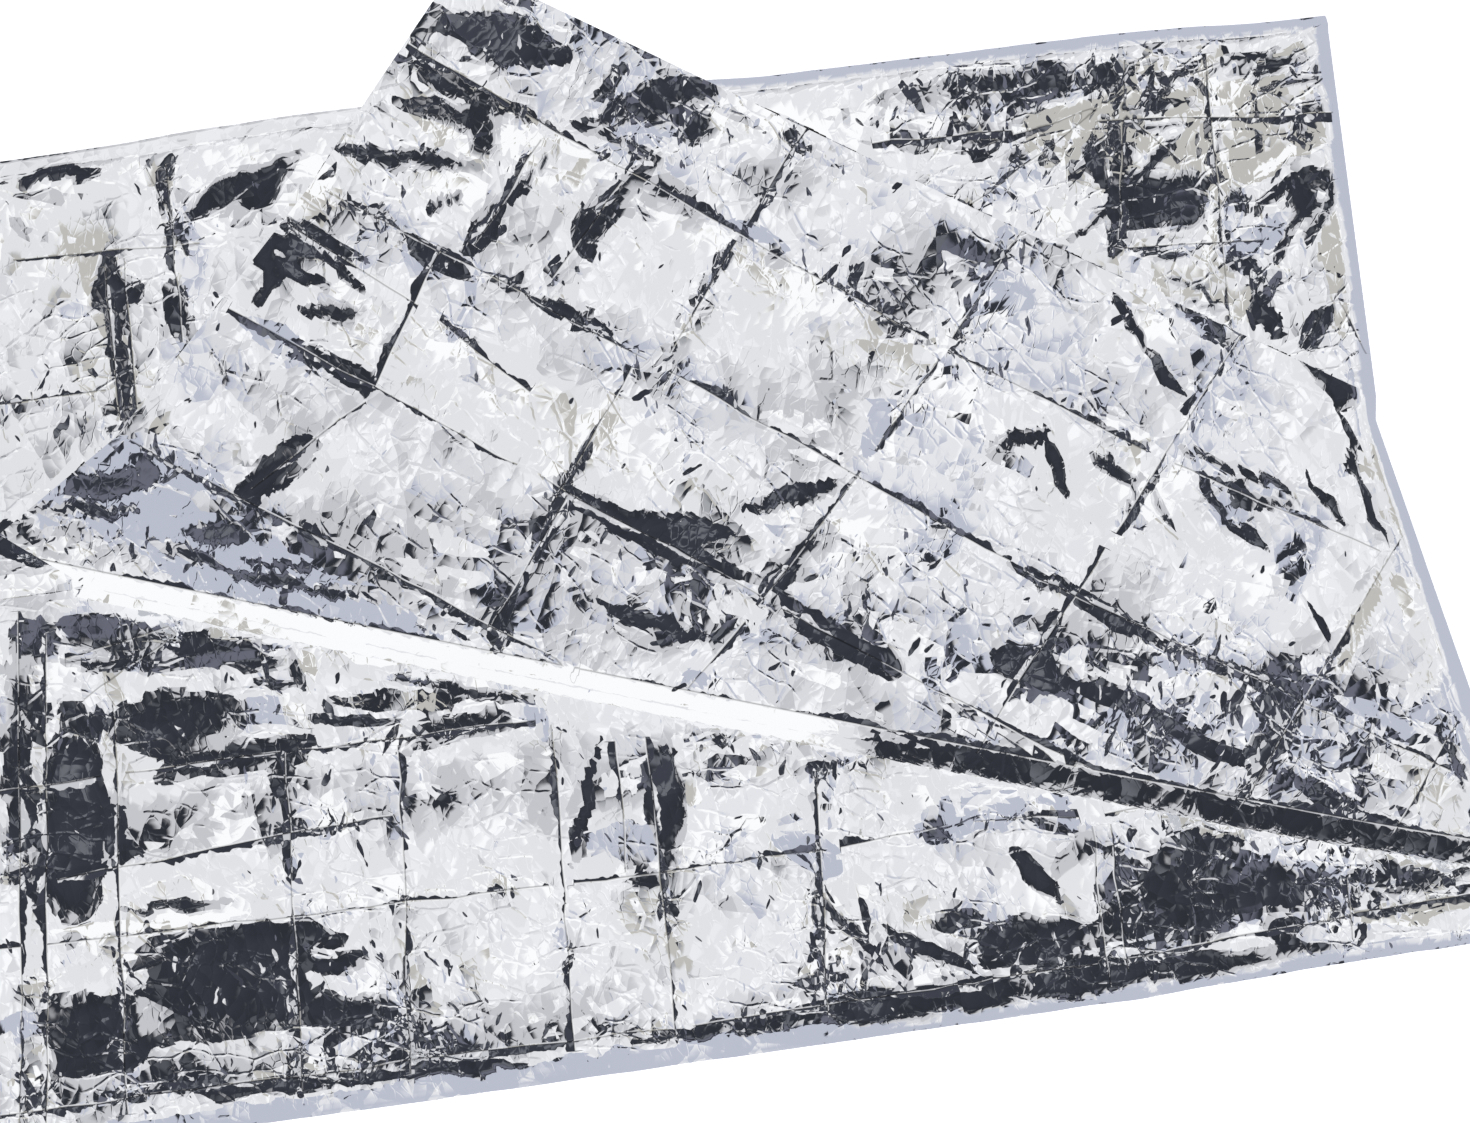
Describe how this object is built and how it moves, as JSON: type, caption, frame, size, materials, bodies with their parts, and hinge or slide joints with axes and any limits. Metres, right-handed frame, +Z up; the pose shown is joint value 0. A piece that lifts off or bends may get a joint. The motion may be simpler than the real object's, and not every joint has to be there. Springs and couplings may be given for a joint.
{
  "type": "emergency foil blanket",
  "caption": "Silver film emergency blanket, partly unfolded into a long folded strip with its upper layer turned back in a slanting flap.",
  "frame": {"origin": "centre of the footprint on the surface that the blanket lies on", "axes": "+X along the folded strip, +Y across it towards the top fold, +Z up"},
  "size_m": [1.0476, 0.5938, 0.028],
  "materials": {
    "silver_film": "mirror-bright aluminised polyester film, finely crumpled"
  },
  "bodies": {
    "root": {"foil_blanket": "silver_film"}
  },
  "joints": []
}
